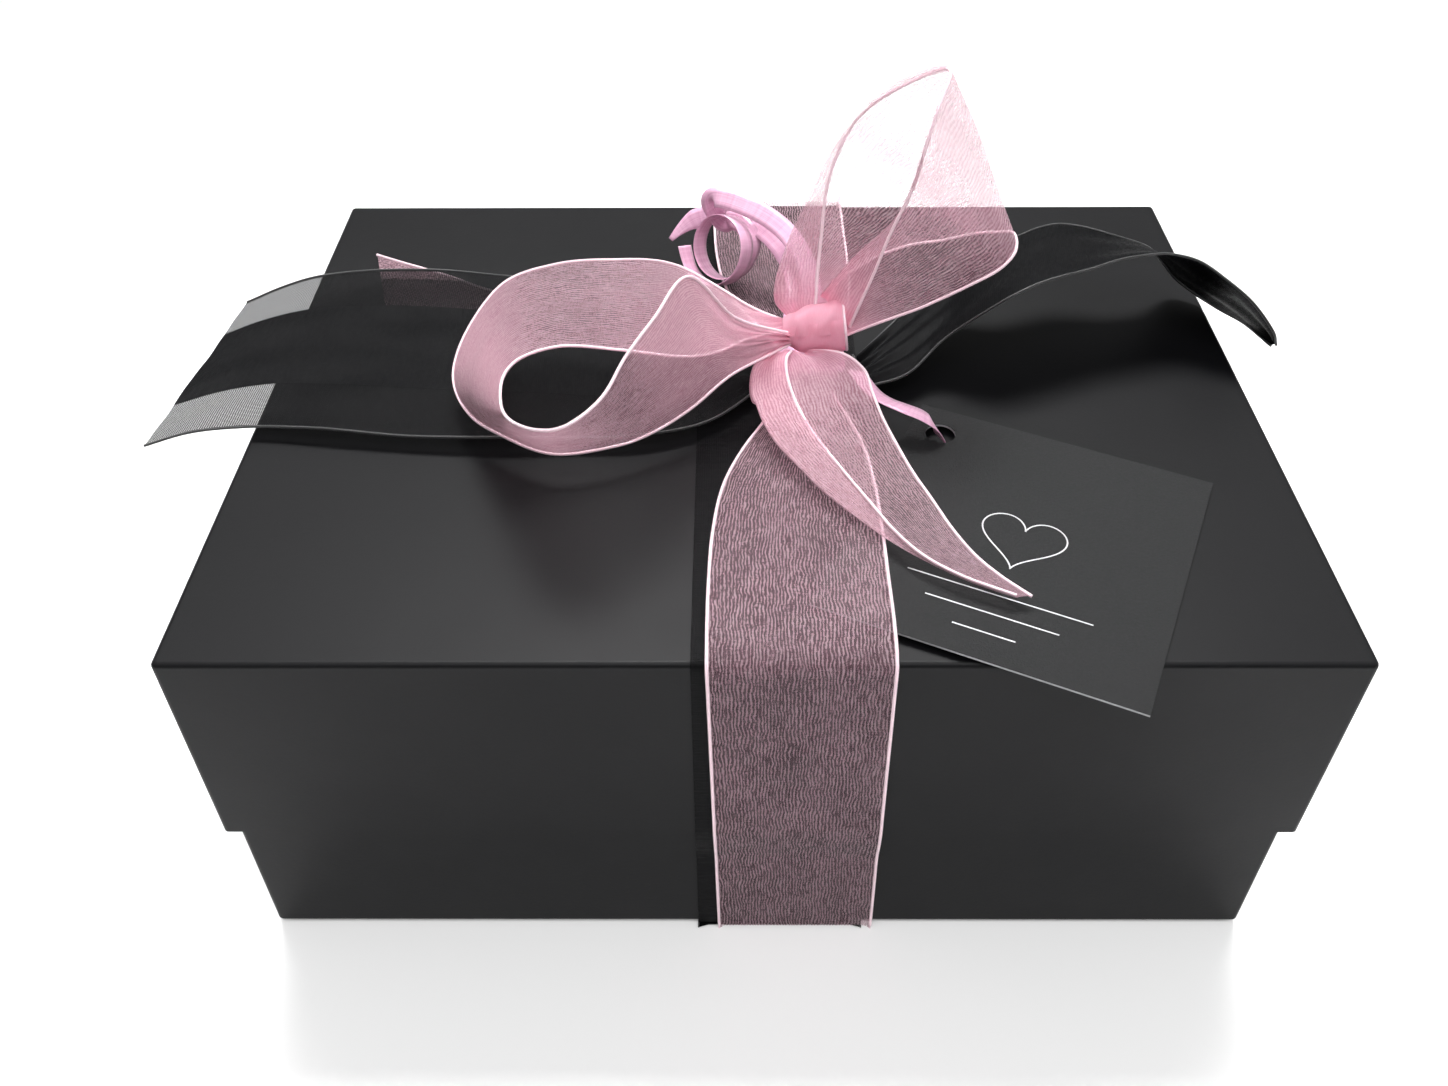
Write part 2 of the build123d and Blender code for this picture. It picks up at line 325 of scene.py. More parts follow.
def organzaWeave(s, place, settings):
    # crinkled fibres both ways over a wavy grain
    grain = s.wave(place, "X", settings["grain"])
    drift = s.node("ShaderNodeTexNoise", {
        "Vector": s.scaled(place, settings["wanderGrid"]), "Scale": 1.0, "Detail": 3.0,
    })
    wander = s.node("ShaderNodeVectorMath", {
        0: drift.outputs["Color"], 1: settings["wander"],
    }, operation="MULTIPLY")
    moved = s.node("ShaderNodeVectorMath", {0: place, 1: wander.outputs[0]}, operation="ADD").outputs[0]
    warp = s.noise(s.scaled(moved, settings["warpGrid"]), 1.0, 3.0, 0.65)
    weft = s.noise(s.scaled(moved, settings["weftGrid"]), 1.0, 3.0, 0.65)
    fibres = s.blend(warp, settings["warpShare"], weft, 1 - settings["warpShare"])
    return s.blend(grain, settings["grainShare"], fibres, 1 - settings["grainShare"])


def organza(name, settings):
    # sheer crinkled weave, closer and pinker where it bunches up
    s = Shading(name)
    place = s.ribbonPlace()
    bunched = s.node("ShaderNodeAttribute", attribute_name="gathered").outputs["Fac"]
    weave = organzaWeave(s, place, settings)
    patches = s.noise(s.scaled(place, settings["patchGrid"]), 1.0, 3.0)
    thread = s.between(weave, *settings["thread"])
    cover = s.math("ADD", thread, s.between(patches, 0.3, 0.7, -settings["patch"], settings["patch"]))
    sheer = s.between(cover, 0.0, 1.0, settings["lowest"], settings["highest"])
    closing = s.math("MULTIPLY", bunched, s.math("SUBTRACT", settings["gatheredCover"], sheer))
    alpha = s.math("ADD", sheer, closing, clamp=True)
    colour = s.mixColour(thread, settings["deep"], settings["pale"])
    tint = s.math("MULTIPLY", bunched, settings["gatheredTint"])
    colour = s.mixColour(tint, colour, settings["bunched"])
    s.surface(
        colour=colour,
        roughness=settings["roughness"],
        specular=settings["specular"],
        sheen=settings["sheen"],
        normal=s.bump(weave, *settings["relief"]),
    )
    glow = s.node("ShaderNodeBsdfTranslucent", {"Color": colour})
    clear = s.node("ShaderNodeBsdfTransparent")
    body = s.node("ShaderNodeMixShader", {
        0: settings["throughLight"], 1: s.shader.outputs[0], 2: glow.outputs[0],
    })
    whole = s.node("ShaderNodeMixShader", {0: alpha, 1: clear.outputs[0], 2: body.outputs[0]})
    s.feed(s.output.inputs["Surface"], whole.outputs[0])
    return s.material


pinkEdgeSettings = {
    "colour": (0.98, 0.72, 0.80, 1),
    "roughness": 0.32,
}
blackHemSettings = {
    "colour": (0.012, 0.012, 0.013, 1),
    "roughness": 0.5,
}
cordTwist = {
    "scale": 2400.0,
    "shade": 0.82,
    "sheen": 0.3,
    "relief": (0.0001, 0.5),
}


def satinCord(name, settings):
    # the woven edge of a ribbon, a tight glossy cord
    s = Shading(name)
    twist = s.noise(s.objectPlace(), cordTwist["scale"], 2.0)
    s.surface(
        colour=s.mixColour(twist, shaded(settings["colour"], cordTwist["shade"]), settings["colour"]),
        roughness=settings["roughness"],
        sheen=cordTwist["sheen"],
        normal=s.bump(twist, *cordTwist["relief"]),
    )
    return s.material


blackRibbonSettings = {
    "width": 0.076,
    "border": 0.019,
    "hem": 0.0011,
    "satin": (0.0018, 0.0018, 0.0023, 1),
    "sheer": (0.0040, 0.0040, 0.0045, 1),
    "sheerCover": 0.80,
    "threads": {"Scale": 560.0, "Distortion": 1.2, "Detail": 1.0},
    "crinkleGrid": (300, 900, 1),
    "roughness": (0.46, 0.64),
    "specular": 0.07,
    "meshShare": 0.3,
    "relief": (0.00018, 0.6),
}


def blackRibbon(name, settings):
    # satin down the middle, open gauze on both borders and a corded hem at each edge
    s = Shading(name)
    place = s.ribbonPlace()
    half = settings["width"] / 2
    across = s.node("ShaderNodeSeparateXYZ", {"Vector": place}).outputs["X"]
    fromMiddle = s.math("ABSOLUTE", s.math("SUBTRACT", across, half))
    satinHalf = half - settings["border"]
    satin = s.between(fromMiddle, satinHalf - 0.0002, satinHalf + 0.0002, 1.0, 0.0)
    hem = s.between(fromMiddle, half - settings["hem"], half - settings["hem"] * 0.8)
    solid = s.math("MAXIMUM", satin, hem)
    warp, weft = [s.wave(place, direction, settings["threads"]) for direction in ("X", "Y")]
    mesh = s.math("MAXIMUM", warp, weft)
    cover = settings["sheerCover"]
    gauze = s.between(mesh, 0.35, 0.95, cover - 0.22, cover + 0.18)
    crinkle = s.noise(s.scaled(place, settings["crinkleGrid"]), 1.0, 4.0, 0.6, 0.6)
    relief = s.math("ADD", s.math("MULTIPLY", mesh, settings["meshShare"]), crinkle)
    s.surface(
        colour=s.mixColour(satin, settings["sheer"], settings["satin"]),
        roughness=s.between(crinkle, 0.3, 0.7, *settings["roughness"]),
        specular=settings["specular"],
        normal=s.bump(relief, *settings["relief"]),
        alpha=s.math("MAXIMUM", solid, gauze),
    )
    return s.material


curlingSettings = {
    "colour": (0.64, 0.32, 0.48, 1),
    "light": (0.82, 0.50, 0.66, 1),
    "roughness": 0.26,
    "sheen": 0.15,
    "lineGrid": (4200, 60, 1),
    "rippleGrid": (30, 900, 1),
    "lineShare": 0.6,
    "relief": (0.00012, 0.5),
}


def curlingRibbon(name, settings):
    # pressed fibre ribbon: fine straight lines along it and faint ripples across
    s = Shading(name)
    place = s.ribbonPlace()
    lines = s.noise(s.scaled(place, settings["lineGrid"]), 1.0, 2.0)
    ripples = s.noise(s.scaled(place, settings["rippleGrid"]), 1.0, 2.0)
    blend = s.blend(lines, settings["lineShare"], ripples, 1 - settings["lineShare"])
    s.surface(
        colour=s.mixColour(s.between(blend, 0.35, 0.65), settings["colour"], settings["light"]),
        roughness=settings["roughness"],
        sheen=settings["sheen"],
        normal=s.bump(blend, *settings["relief"]),
    )
    return s.material


cardSettings = {
    "colour": (0.008, 0.0083, 0.0086, 1),
    "light": (0.019, 0.0194, 0.020, 1),
    "core": (0.30, 0.30, 0.31, 1),
    "tooth": 1500.0,
    "roughness": 0.62,
    "specular": 0.16,
    "relief": (0.00015, 0.8),
}


def cardStock(name, settings):
    # black card with a light core that shows on its cut edges
    s = Shading(name)
    normal = s.node("ShaderNodeNewGeometry").outputs["True Normal"]
    upright = s.math("ABSOLUTE", s.node("ShaderNodeSeparateXYZ", {"Vector": normal}).outputs["Z"])
    cutEdge = s.between(upright, 0.4, 0.6, 1.0, 0.0)
    tooth = s.noise(s.objectPlace(), settings["tooth"], 4.0, 0.7)
    face = s.mixColour(tooth, settings["colour"], settings["light"])
    s.surface(
        colour=s.mixColour(cutEdge, face, settings["core"]),
        roughness=settings["roughness"],
        specular=settings["specular"],
        normal=s.bump(tooth, *settings["relief"]),
    )
    return s.material


inkSettings = {
    "colour": (0.34, 0.34, 0.35, 1),
    "light": (0.52, 0.52, 0.53, 1),
    "rub": 900.0,
    "metallic": 0.35,
    "roughness": 0.45,
}


def silverInk(name, settings):
    s = Shading(name)
    rub = s.noise(s.objectPlace(), settings["rub"], 4.0)
    s.surface(
        colour=s.mixColour(rub, settings["colour"], settings["light"]),
        metallic=settings["metallic"],
        roughness=settings["roughness"],
    )
    return s.material


linerSettings = {**laminateSettings, "roughness": (0.62, 0.74)}

blackWrap = laminatedPaper("blackWrap", laminateSettings)
greyboard = plainBoard("greyboard", greyboardSettings)
kraftTape = plainBoard("kraftTape", kraftTapeSettings)
linerPaper = laminatedPaper("linerPaper", linerSettings)
pinkOrganza = organza("pinkOrganza", organzaSettings)
pinkEdge = satinCord("pinkEdge", pinkEdgeSettings)
blackSatin = blackRibbon("blackSatin", blackRibbonSettings)
blackHem = satinCord("blackHem", blackHemSettings)
lilacSatin = curlingRibbon("lilacSatin", curlingSettings)
blackCard = cardStock("blackCard", cardSettings)
silver = silverInk("silverInk", inkSettings)

for nodeName, material in {
    "base_board": greyboard, "lid_board": greyboard,
    "base_corner_tapes": kraftTape, "lid_corner_tapes": kraftTape,
    "base_wrap": blackWrap, "lid_wrap": blackWrap,
    "base_liner": linerPaper, "lid_liner": linerPaper,
    "hang_tag": blackCard,
}.items():
    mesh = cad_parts[nodeName].data
    mesh.materials.clear()
    mesh.materials.append(material)
print("box and tag finished")


def stationsAlong(lines):
    # how far along the ribbon each station of its guide lines lies, and the whole length
    steps = [0.0]
    for i in range(1, len(lines[0])):
        steps.append(steps[-1] + sum((line[i] - line[i - 1]).length for line in lines) / len(lines))
    return steps, steps[-1]


def slopeAt(points, stations, i):
    before, after = max(i - 1, 0), min(i + 1, len(points) - 1)
    if before == i or after == i:
        return (points[after] - points[before]) / (stations[after] - stations[before])
    low, high = stations[i] - stations[before], stations[after] - stations[i]
    arrive = (points[i] - points[before]) / low * high
    leave = (points[after] - points[i]) / high * low
    return (arrive + leave) / (low + high)


def smoothPoint(points, stations, far):
    # the place that far along the smooth line through the points
    i = min(max(bisect(stations, far) - 1, 0), len(points) - 2)
    step = stations[i + 1] - stations[i]
    f = (far - stations[i]) / step
    leave, arrive = slopeAt(points, stations, i) * step, slopeAt(points, stations, i + 1) * step
    start, end = points[i], points[i + 1]
    return (
        start * (2 * f ** 3 - 3 * f * f + 1) + leave * (f ** 3 - 2 * f * f + f)
        + end * (3 * f * f - 2 * f ** 3) + arrive * (f ** 3 - f * f)
    )


def finishPiece(name, bm, body, materials, replaced=(), smooth=True):
    mesh = bpy.data.meshes.new(name)
    bm.to_mesh(mesh)
    bm.free()
    for material in materials:
        mesh.materials.append(material)
    for face in mesh.polygons:
        face.use_smooth = smooth
    piece = bpy.data.objects.new(name, mesh)
    bpy.context.scene.collection.objects.link(piece)
    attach(piece, body)
    if replaced:
        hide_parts(*replaced)
    return piece


def newCurve(name, kind, places):
    curve = bpy.data.curves.new(name, "CURVE")
    curve.dimensions = "3D"
    spline = curve.splines.new(kind)
    spline.points.add(len(places) - 1)
    for point, place in zip(spline.points, places):
        point.co = (*place, 1)
    return curve, spline


def curveMesh(name, curve):
    # the curve's mesh, with the curve itself thrown away
    holder = bpy.data.objects.new(name, curve)
    mesh = bpy.data.meshes.new_from_object(holder)
    bpy.data.objects.remove(holder)
    bpy.data.curves.remove(curve)
    return mesh


def addCord(bm, line, radius, materialIndex):
    # a thin round cord along a line of points, added to the cloth's mesh
    curve, _ = newCurve("cordLine", "POLY", line)
    curve.bevel_depth = radius
    curve.bevel_resolution = 1
    curve.use_fill_caps = True
    mesh = curveMesh("cordLine", curve)
    before = len(bm.faces)
    bm.from_mesh(mesh)
    bm.faces.ensure_lookup_table()
    for face in bm.faces[before:]:
        face.material_index = materialIndex
    bpy.data.meshes.remove(mesh)


sheetDefaults = {
    "uvStart": 0.0,  # where the strip starts across its ribbon, in metres
    "seed": 0.0,
    "gatherReach": 0.012,
    "startDense": 0.0,
    "endDense": 0.0,
    "denseAt": (),  # place along, amount and width of each denser stretch
    "soften": 1,
    "pleatReach": 0.02,
    "pleatCount": 4,
    "startPleats": 0.0,
    "endPleats": 0.0,
    "ripple": 0.0004,
    "belly": 0.0,
    "cordEdges": (True, True),
    "cutShare": None,  # the share of the rectangle left by a slanted cut
}
rippleAcross, rippleAlong = 90, 45  # waves per metre
allAxes = {"use_axis_x": True, "use_axis_y": True, "use_axis_z": True}
edgeGap = 0.0001


def gridStrip(columns, rows):
    # a flat grid with its ribbon map, its gather layer and each vertex's share across and along
    bm = bmesh.new()
    bmesh.ops.create_grid(bm, x_segments=columns, y_segments=rows, size=0.5)
    uvLayer = bm.loops.layers.uv.new("ribbon")
    dense = bm.verts.layers.float.new("gathered")
    where = {v: (v.co.x + 0.5, v.co.y + 0.5) for v in bm.verts}
    return bm, uvLayer, dense, where


def mapStrip(bm, uvLayer, where, start, width, length):
    for face in bm.faces:
        for loop in face.loops:
            across, along = where[loop.vert]
            loop[uvLayer].uv = (start + across * width, along * length)


def edgeLine(where, side):
    # the vertices' places along one long edge, in order
    ordered = sorted(where.items(), key=lambda pair: pair[1][1])
    return [v.co.copy() for v, (across, _) in ordered if abs(across - side) < edgeGap]


def gathering(look, along, length):
    # how tightly the cloth is bunched at that share of its length
    far, reach = along * length, look["gatherReach"]
    close = look["startDense"] * exp(-far / reach) + look["endDense"] * exp((far - length) / reach)
    for at, amount, wide in look["denseAt"]:
        close += amount * exp(-((along - at) / wide) ** 2)
    return min(1.0, close)


def crinkling(look, across, along, length):
    # how far the cloth stands off its guide lines: pleats at the ends, ripples and a belly
    seed, reach, width = look["seed"], look["pleatReach"], look["width"]
    atStart = exp(-along * length / reach) * look["startPleats"]
    atEnd = exp(-(1 - along) * length / reach) * look["endPleats"]
    waver = 3 * noise.noise(Vector((along * 4, seed, 0)))
    pleats = (atStart + atEnd) * sin(2 * pi * look["pleatCount"] * across + waver)
    place = Vector((across * width * rippleAcross, along * length * rippleAlong, seed))
    belly = look["belly"] * sin(pi * across) * sin(pi * along)
    return pleats + look["ripple"] * noise.noise(place) + belly


def ribbonSheet(name, body, changes, guides, spread, replaced=()):
    # one layer of ribbon over guide lines that run along it, spaced across it as spread says
    look = {**sheetDefaults, **changes}
    lines = [[onLid(*p) for p in guide] for guide in guides]
    width = look["width"]
    bm, uvLayer, dense, where = gridStrip(look["columns"], look["rows"])
    stations, length = stationsAlong(lines)
    mapStrip(bm, uvLayer, where, look["uvStart"], width, length)
    for v, (across, along) in where.items():
        k = max(i for i in range(len(spread) - 1) if across >= spread[i] - 1e-6)
        part = (across - spread[k]) / (spread[k + 1] - spread[k])
        far = along * length
        v.co = smoothPoint(lines[k], stations, far).lerp(smoothPoint(lines[k + 1], stations, far), part)
        v[dense] = gathering(look, along, length)
    foldVerts = [v for v, (across, _) in where.items() if 0.001 < across < 0.999]
    for _ in range(look["soften"]):
        bmesh.ops.smooth_vert(bm, verts=foldVerts, factor=0.5, **allAxes)
    bm.normal_update()
    moves = {v: v.normal * crinkling(look, *place, length) for v, place in where.items()}
    for v, move in moves.items():
        v.co += move
    edges = [edgeLine(where, side) for side in (0, 1)]
    for edge, corded in zip(edges, look["cordEdges"]):
        if corded:
            addCord(bm, edge, look["cord"], 1)
    piece = finishPiece(name, bm, body, look["materials"], replaced)
    return piece


pinkLook = {
    "width": 0.040,
    "rows": 150,
    "columns": 28,
    "cord": 0.00040,
    "materials": [pinkOrganza, pinkEdge],
    "slot": "pink_organza",
}

# Guide lines are in millimetres from the middle of the lid's top, each list along the ribbon.
leftLoopLines = {
    "outer": [
        (9.5, 0.0, 19.6), (-3, 9, 20.5), (-10, 15, 21.5), (-21, 21, 24.5), (-37, 17, 28.5),
        (-53.5, 17, 27), (-66.5, 12, 24), (-74, 2, 19), (-77.5, -11, 13), (-72, -24, 8.5),
        (-63, -31, 7.5), (-50, -38, 7.2), (-35, -35, 7.2), (-24, -28.5, 8), (-17, -23, 9.5),
        (-9.5, -17, 13), (-3, -12.5, 15), (9.5, -5.5, 18.2),
    ],
    "inner": [
        (9.5, -3.5, 20.8), (-3, -7.8, 20), (-9, -12, 19.5), (-17, -17, 21), (-33, -24, 28),
        (-49, -27, 30.5), (-57, -31, 30), (-60, -36, 28.5), (-59.5, -44, 27), (-55, -55, 30),
        (-48.5, -62, 33), (-42, -65, 36), (-35, -59, 39), (-29.5, -48, 43), (-23.5, -40, 47),
        (-16.5, -26, 49), (-6, -14.5, 31), (9.5, -5.5, 20.0),
    ],
}
rightLoopLines = {
    "lower": [
        (18, 6, 20), (20, 10, 24), (28, 13, 29.5), (38, 14, 34), (48, 13.5, 36.5), (54, 12, 38.5),
        (59.5, 7, 42), (62.3, 0, 45), (61.5, -6, 43.5), (58, -9, 41), (51, -10, 37), (41.5, -8.5, 30.5),
        (31, -6.5, 24.5), (23, -4, 19),
    ],
    "fold": [
        (8, 3, 21), (5, 2.5, 24.5), (4.5, 5, 29), (7.5, 8.5, 38), (12.5, 9.5, 50), (20, 10.5, 65),
        (30, 6.2, 78.8), (42, 2, 85.1), (39, -6, 80), (36.6, -8, 72), (34.8, -7.5, 63), (31.5, -5.5, 53),
        (22, -2.5, 40.5), (15.5, 1, 28),
    ],
    "cord": [
        (14, -2, 22), (14.6, -1.5, 26), (14.9, 1.5, 33), (15.6, 5, 42), (17, 8.5, 56), (21.5, 9.9, 68),
        (30.4, 5.9, 78.6), (42.2, 1.7, 85), (39.2, -6.3, 79.8), (36.8, -8.3, 71.8), (34.8, -8, 62.5),
        (31.6, -7, 52), (28, -6.3, 38), (23.2, -5, 22),
    ],
}
frontTailLines = {
    "cord": [
        (8.5, -8.6, 17.2), (7.2, -11.5, 17.2), (7.3, -16, 14.5), (9, -22, 11.8), (12, -30, 10.4),
        (16, -39, 9.6), (20.5, -48, 8.8), (25.5, -57, 7.8), (30, -65, 7.0), (36, -73, 6.4),
        (44, -79, 5.8), (55, -84.2, 5.0),
    ],
    "fold": [
        (3, -8.4, 16.5), (-1, -11.5, 15.2), (-2.5, -18, 12.5), (-1, -26, 10.2), (2.5, -34.5, 8.8),
        (7.5, -42.5, 8.0), (13.5, -51, 7.2), (20, -58.5, 6.5), (26.5, -65.5, 5.9), (34, -72.5, 5.5),
        (43, -78.8, 5.1), (55, -84.6, 4.6),
    ],
    "edge": [
        (14, -9.2, 17.5), (21, -10.6, 17.6), (26.4, -14.5, 15.6), (28.2, -22, 14.0), (30, -31, 12.8),
        (32.8, -40, 11.6), (36, -49, 10.2), (39.5, -57, 8.8), (43, -65, 7.4), (47.5, -73, 6.3),
        (52.5, -79, 5.6), (58.4, -84.2, 4.8),
    ],
}


backTailLines = {
    "near": [(0, 0, 1.6), (-25, 3, 1.5), (-50, 6, 1.5), (-75, 12, 1.4), (-92, 21, 1.4), (-104, 28, 1.4)],
    "far": [(0, 8, 1.8), (-25, 30, 1.5), (-52, 40, 1.5), (-77, 46, 1.5), (-94, 56, 1.4), (-115, 67, 1.4)],
}
leftLoopLook = {
    **pinkLook,
    "rows": 220,
    "seed": 3.0,
    "startPleats": 0.0013,
    "endPleats": 0.0012,
    "pleatReach": 0.016,
    "pleatCount": 3,
    "ripple": 0.0008,
    "startDense": 0.97,
    "endDense": 0.97,
    "gatherReach": 0.034,
    "denseAt": [(0.43, 0.58, 0.07), (0.60, 0.30, 0.06), (0.78, 0.12, 0.06)],
}
rightLoopLook = {
    **pinkLook,
    "rows": 200,
    "columns": 32,
    "seed": 7.0,
    "startPleats": 0.0008,
    "endPleats": 0.0008,
    "pleatReach": 0.014,
    "pleatCount": 3,
    "ripple": 0.0007,
    "soften": 2,
    "belly": 0.0012,
    "startDense": 0.95,
    "endDense": 0.95,
    "gatherReach": 0.015,
    "denseAt": [(0.37, 0.25, 0.03), (0.60, 0.28, 0.08)],
}
frontTailLook = {
    **pinkLook,
    "rows": 130,
    "seed": 11.0,
    "startPleats": 0.0009,
    "ripple": 0.0006,
    "soften": 2,
    "startDense": 0.95,
    "endDense": 0.35,
    "gatherReach": 0.018,
    "cutShare": 0.85,
}
backTailLook = {
    **pinkLook,
    "seed": 5.0,
    "startPleats": 0.0006,
    "ripple": 0.0005,
    "denseAt": [(0.6, 0.30, 0.5)],
}


def makeBow():
    for name, look, lines, spread, replaced, held, rests in (
        ("leftLoop", leftLoopLook, leftLoopLines, (0, 1), "bow_loop_left", "folded", "bow_knot"),
        ("rightLoop", rightLoopLook, rightLoopLines, (0, 0.75, 1), "bow_loop_right", "folded", "bow_knot"),
        ("frontTail", frontTailLook, frontTailLines, (0, 0.28, 1), "bow_tail_front", "folded", "bow_knot"),
        ("backTail", backTailLook, backTailLines, (0, 1), "bow_tail_back", "laid", "lid_wrap"),
    ):
        ribbonSheet(name, "ribbon", look, list(lines.values()), spread, [replaced])


print("modelling the bow")
makeBow()


def mmBox(corner):
    return Vector(corner) / mm


lidFront = -mmBox(lidBox[0]).y
baseFront = -mmBox(baseBox[0]).y
skirtLow = mmBox(lidBox[0]).z - lidTop / mm
bandEnd = 1.4  # how far above the ground the cut bands stop
floorLow = bandEnd - lidTop / mm

bandSettings = {
    "pinkMiddle": 8.0,
    "pinkHalf": 20.0,
    "pinkLevel": 1.35,
    "pinkCrest": 2.7,  # height where it passes over the tag to the lid's edge
    "blackLeft": -15.5,
    "blackRight": 27.5,
    "blackLevel": 0.55,
    "slant": 2.0,
    "gathered": [
        # narrowing at the left and right, distance from the middle, height
        (18.0, 9.0, 9.8, 5.6), (14.0, 5.0, 20.0, 4.6), (8.5, 2.0, 31.0, 4.1), (4.0, 0.5, 43.0, 3.8),
        (1.0, 0.0, 62.0, 4.0), (0.2, 0.0, 78.0, 3.9), (0.0, 0.0, 92.0, 3.6),
    ],
}


def bandDrop(side, level, crest, left, right, slant):
    # both edges from the lid's edge down the skirt and the base to the floor
    outside, lower = lidFront + level, baseFront + level
    places = [
        (lidFront - 3.0, crest), (lidFront - 1.2, level * 0.4 + crest * 0.6), (lidFront - 0.2, level * 0.9),
        (lidFront + level * 0.75, level * 0.6 - 0.3), (lidFront + level * 0.95, -0.8),
        (outside, -2.0), (outside, -8.0), (outside, -30.0), (outside, -52.0), (outside, skirtLow + 1.0),
        (outside - 0.5, skirtLow - 3.0), (lower, skirtLow - 12.0), (lower, floorLow * 0.8),
        (lower, floorLow),
    ]
    total = -floorLow
    drift = [slant * max(0.0, -z) / total for _, z in places]
    return (
        [(left + d, side * y, z) for (y, z), d in zip(places, drift)],
        [(right + d, side * y, z) for (y, z), d in zip(places, drift)],
    )


pinkBandLook = {
    **pinkLook,
    "rows": 230,
    "columns": 30,
    "startPleats": 0.0008,
    "pleatReach": 0.014,
    "ripple": 0.00025,
}


def makePinkBand(name, side, node, seed):
    settings = bandSettings
    left = settings["pinkMiddle"] - settings["pinkHalf"]
    right = settings["pinkMiddle"] + settings["pinkHalf"]
    drop = bandDrop(side, settings["pinkLevel"], settings["pinkCrest"], left, right, settings["slant"])
    leftLine = [(left + a, side * y, z) for a, b, y, z in settings["gathered"]] + drop[0]
    rightLine = [(right - b, side * y, z) for a, b, y, z in settings["gathered"]] + drop[1]
    look = {**pinkBandLook, "seed": seed}
    ribbonSheet(name, "ribbon", look, [leftLine, rightLine], (0, 1), [node])


blackLook = {
    "width": 0.043,
    "rows": 60,
    "columns": 16,
    "cord": 0.00035,
    "materials": [blackSatin, blackHem],
    "slot": "black_satin",
    "uvStart": 0.019,
    "ripple": 0.0001,
}
blackBandLook = {
    **blackLook,
    "rows": 260,
    "cordEdges": (False, False),
}
underRunChanges = {
    "ripple": 0.0,
    "rows": 40,
    "cord": 0.00018,
}
underRunStations = 7


def makeBlackBand():
    settings = bandSettings
    level, left, right = settings["blackLevel"], settings["blackLeft"], settings["blackRight"]
    front, back = [bandDrop(side, level, level, left, right, 0.0) for side in (-1, 1)]
    lines = [list(reversed(front[k])) + back[k] for k in (0, 1)]
    replaced, rests = ["black_band"], ["lid_wrap"]
    ribbonSheet("blackBand", "ribbon", blackBandLook, lines, (0, 1), replaced)


def makeUnderRun(name, node, look, height):
    low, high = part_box(node)
    left, right = low.x / mm, high.x / mm
    near, far = low.y / mm, high.y / mm
    z = height - lidTop / mm
    last = underRunStations - 1
    stations = [near + (far - near) * k / last for k in range(underRunStations)]
    lines = [[(x, y, z) for y in stations] for x in (left, right)]
    flatLook = {**look, **underRunChanges}
    ribbonSheet(name, "under_run", flatLook, lines, (0, 1), [node])


makePinkBand("bandFront", -1, "band_front", 21.0)
makePinkBand("bandBack", 1, "band_back", 23.0)
makeBlackBand()
makeUnderRun("pinkUnderRun", "band_under_run", pinkLook, 0.2)
makeUnderRun("blackUnderRun", "black_under_run", blackLook, 0.6)
print("bands wrapped")

blackLeftLines = {
    "near": [
        (1, -6, 4.2), (-12, -20, 4.2), (-30, -26.5, 4.2), (-47, -27.3, 4.2), (-65, -27.5, 4.2),
        (-79, -27, 4.1), (-91, -26, 4), (-103, -24.5, 3.9), (-115, -23, 3.8), (-130, -22, 3.6),
        (-144, -24.5, 3.5), (-153.2, -30, 3.5),
    ],
    "far": [
        (1, 7, 4.2), (-12, 24, 4.2), (-30, 38, 4.2), (-50, 45, 4.2), (-70, 49, 4.2), (-82, 51.5, 4.2),
        (-94, 53, 4.2), (-104, 53.5, 4.2), (-113, 53, 4.2), (-128, 50, 4.2), (-138, 43, 4.2),
        (-145.6, 36, 4.2),
    ],
}
blackRightLines = {
    "near": [
        (27, -7, 4.2), (39, -4, 7), (50, 4, 12.5), (65, 4, 25), (83, 12, 28), (96, 18, 28),
        (104, 20, 27.5), (111, 22, 26.5), (118, 22, 25), (124.5, 17, 23), (130.5, 12.5, 19.5),
        (137, 9, 12), (139.8, 9, 7),
    ],
    "far": [
        (27, 7, 4.2), (41, 25, 8), (56, 37, 14), (72, 41, 21), (87, 47, 22), (103, 44, 20),
        (112, 44, 16.5), (118, 46, 10), (122, 46, 5.5), (127, 42, 3), (133, 36, 1.5), (138.5, 29.5, 1),
        (140.2, 12, 5),
    ],
}


blackLeftLook = {
    **blackLook,
    "width": 0.076,
    "uvStart": 0.0,
    "rows": 110,
    "columns": 30,
    "seed": 31.0,
    "ripple": 0.0007,
    "startPleats": 0.0008,
}
blackRightLook = {
    **blackLeftLook,
    "width": 0.040,
    "uvStart": 0.018,
    "seed": 37.0,
    "ripple": 0.0012,
    "startPleats": 0.001,
}


def makeBlackTails():
    left, right = list(blackLeftLines.values()), list(blackRightLines.values())
    for name, look, lines, replaced, held in (
        ("blackTailLeft", blackLeftLook, left, "black_tail_left", "laid"),
        ("blackTailRight", blackRightLook, right, "black_tail_right", "folded"),
    ):
        ribbonSheet(name, "ribbon", look, lines, (0, 1), [replaced])


makeBlackTails()
print("black tails laid")

pinkKnotSettings = {
    "middle": (14.4, -3.2, 20.2),
    "size": (7.8, 6.6, 7.4),
    "lean": -7.0,
    "leftEnd": 0.56,  # its radius at the left as a share of the right
}
blackKnotSettings = {
    "middle": (14, 0, 4.1),
    "size": (12.0, 8.6, 2.8),
    "lean": 0.0,
    "leftEnd": 0.9,
}
knotShape = {
    "rows": 64,
    "columns": 28,
    "wind": 1.08,  # turns, so that its end laps over its start
    "startAngle": 2.4,
    "mapWidth": 0.04,
    "creasesAcross": 2.4,
    "creasesAlong": 1.6,
    "creaseWaver": 2.2,
    "creaseDepth": 0.045,
    "lap": 0.02,
    "gathered": 0.97,
}


